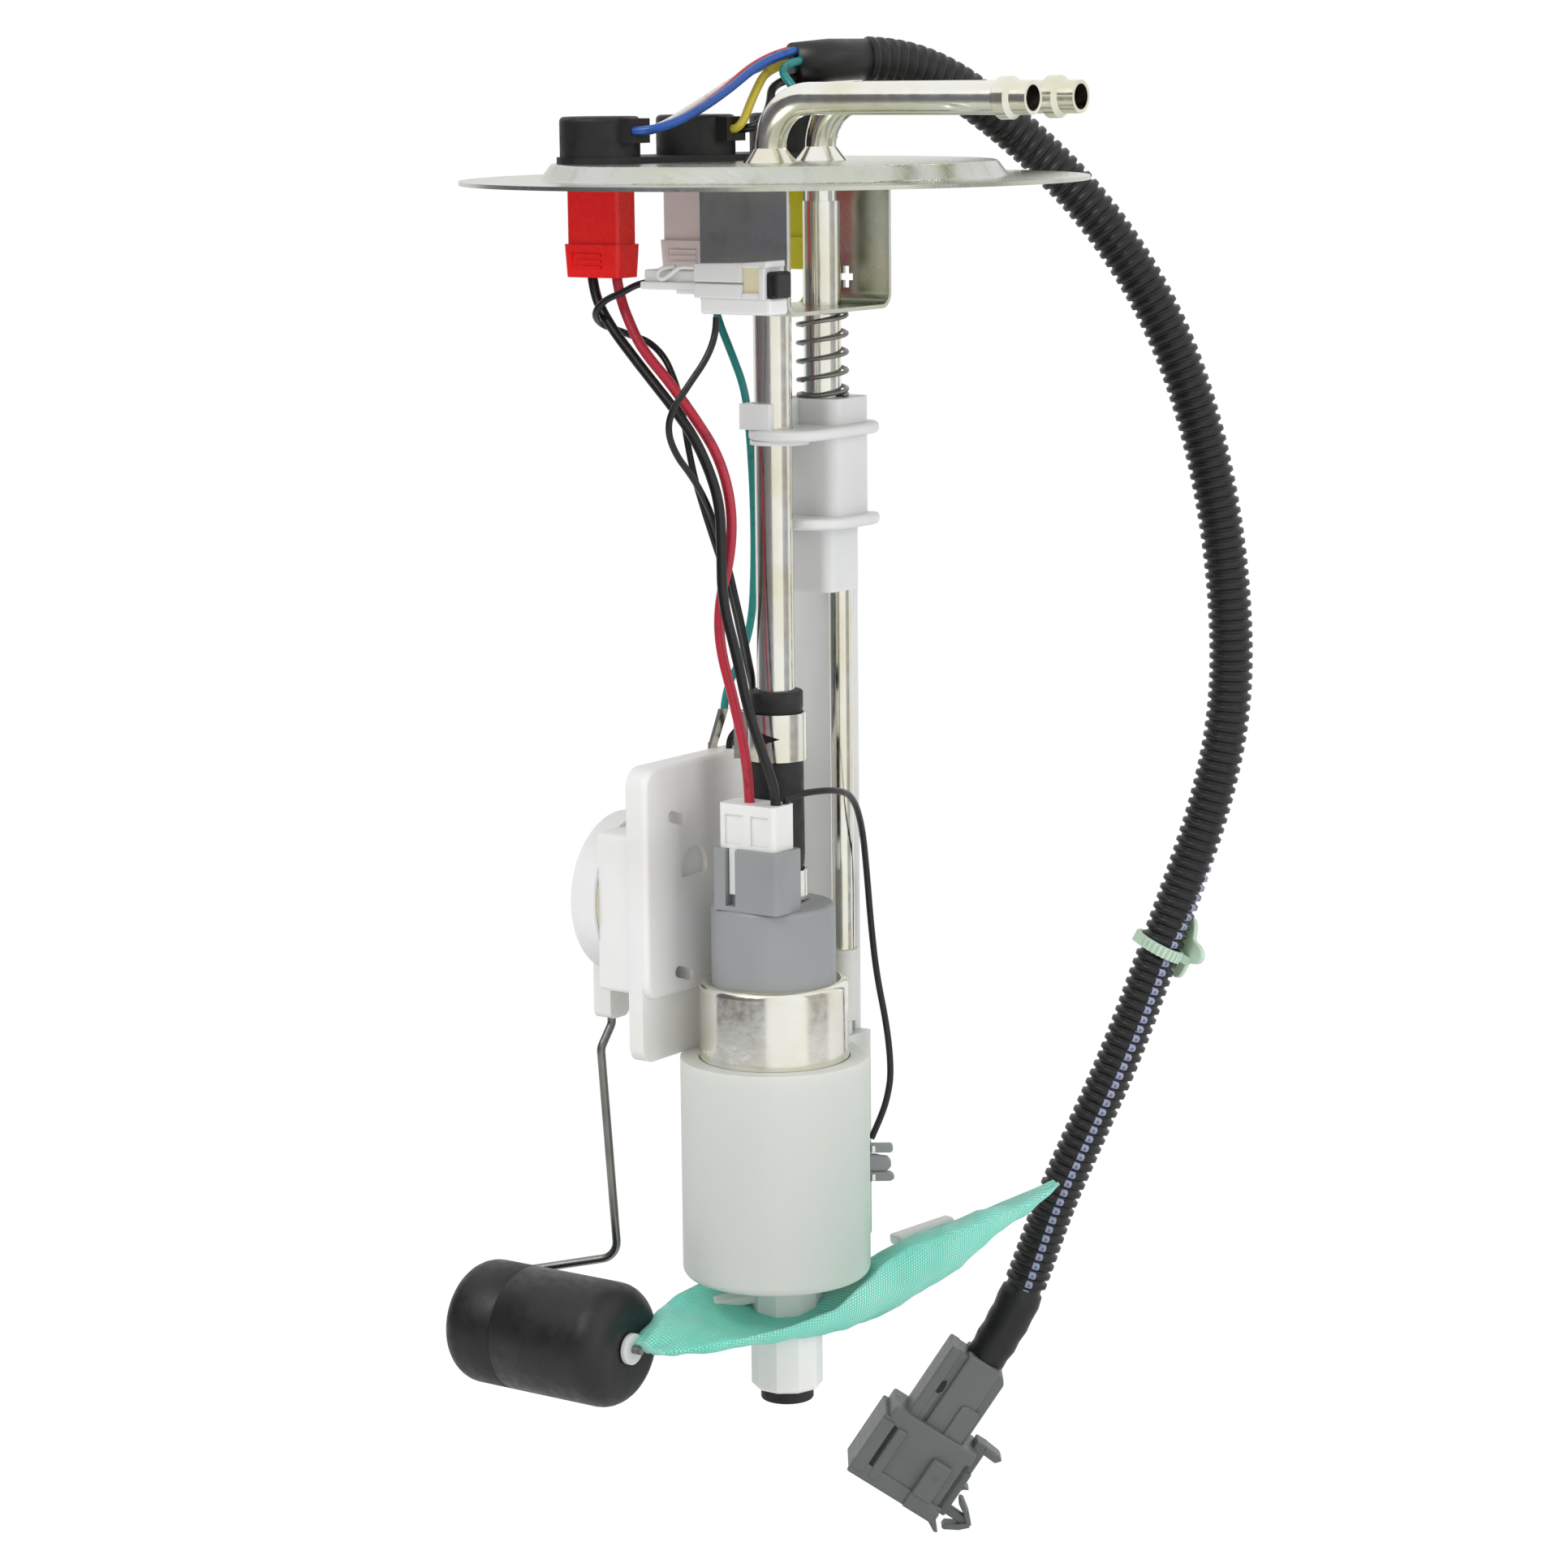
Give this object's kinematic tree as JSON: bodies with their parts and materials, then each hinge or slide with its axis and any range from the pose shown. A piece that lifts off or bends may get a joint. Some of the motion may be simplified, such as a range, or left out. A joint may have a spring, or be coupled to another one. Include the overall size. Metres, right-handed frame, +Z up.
{
  "type": "fuel pump module",
  "caption": "In-tank fuel pump module with lid, pipes, guide bracket, sprung slider, pump in a cup, level sender with float, strainer and harness",
  "frame": {"origin": "centre of the lid's seating face, on the underside of its rim", "axes": "+Z up out of the tank, X along the fuel pipes and the float arm's pivot"},
  "size_m": [0.1605, 0.2009, 0.4025],
  "materials": {
    "zinc": "zinc plated, satin",
    "plated": "bright plated",
    "spring_steel": "zinc plated, satin",
    "iron": "bare",
    "black_rubber": "matte",
    "red_plastic": "glossy",
    "yellow_plastic": "glossy",
    "nylon": "satin",
    "grey_plastic": "satin",
    "float_black": "satin",
    "card": "satin",
    "teal_mesh": "woven",
    "black_plastic": "satin",
    "connector_grey": "satin",
    "pale_green": "satin",
    "wire_blue": "glossy",
    "wire_red": "glossy",
    "wire_white": "glossy",
    "wire_yellow": "glossy",
    "wire_black": "glossy",
    "wire_green": "glossy"
  },
  "bodies": {
    "lid_unit": {"tank_lid": "zinc", "feed_pipe": "plated", "return_pipe": "plated", "feed_tube": "plated", "guide_tube": "plated", "guide_bracket": "zinc", "grommet_seal": "black_rubber", "connector_red": "red_plastic", "connector_white": "nylon", "connector_yellow": "yellow_plastic", "inline_plug": "nylon", "inline_socket": "nylon", "upper_clamp": "plated", "loom": "black_plastic", "harness_connector": "connector_grey", "harness_clip": "connector_grey", "tie_clip": "pale_green", "top_wire_black": "wire_black", "top_wire_blue": "wire_blue", "top_wire_green": "wire_green", "top_wire_red": "wire_red", "top_wire_white": "wire_white", "top_wire_yellow": "wire_yellow"},
    "carriage": {"foot_pad": "black_rubber", "foot_post": "nylon", "fuel_hose": "black_rubber", "level_switch": "grey_plastic", "lower_clamp": "plated", "pump_base": "grey_plastic", "pump_can": "zinc", "pump_cap": "grey_plastic", "pump_cup": "nylon", "pump_magnets": "iron", "pump_plug": "nylon", "pump_shroud": "grey_plastic", "resistor_card": "card", "return_rod": "plated", "ring_terminal": "plated", "sender_body": "nylon", "sender_guard": "nylon", "sender_plate": "nylon", "slide_rail": "nylon", "slider_collar": "nylon", "spring": "spring_steel", "strainer": "teal_mesh", "strainer_frame": "nylon", "wire_black": "wire_black", "wire_grey": "wire_black", "wire_red": "wire_red", "wire_signal": "wire_black", "wire_teal": "wire_green", "wire_thin": "wire_black"},
    "float_lever": {"arm_holder": "nylon", "wiper": "plated", "float_arm": "spring_steel", "float_washer": "nylon"},
    "float_roll": {"float": "float_black"},
    "pump_rotor": {"armature": "iron"}
  },
  "joints": [
    {"name": "carriage_slide", "type": "slide", "parent": "lid_unit", "child": "carriage", "axis": [0, 0, 1], "range_m": [0, 0.01], "stiffness_N_per_m": 900, "springref_m": -0.02, "deforming": ["spring", "fuel_hose", "wire_black", "wire_red", "wire_thin", "wire_signal", "wire_teal"]},
    {"name": "float_swing", "type": "hinge", "parent": "carriage", "child": "float_lever", "pos_m": [-0.038, -0.023, -0.182], "axis": [-1, 0, 0], "range_deg": [0, 80]},
    {"name": "float_spin", "type": "hinge", "parent": "float_lever", "child": "float_roll", "pos_m": [-0.0388, -0.05, -0.291], "axis": [1, 0, 0], "continuous": true},
    {"name": "armature_spin", "type": "hinge", "parent": "carriage", "child": "pump_rotor", "pos_m": [0.008, -0.0155, -0.23], "axis": [0, 0, 1], "continuous": true}
  ]
}
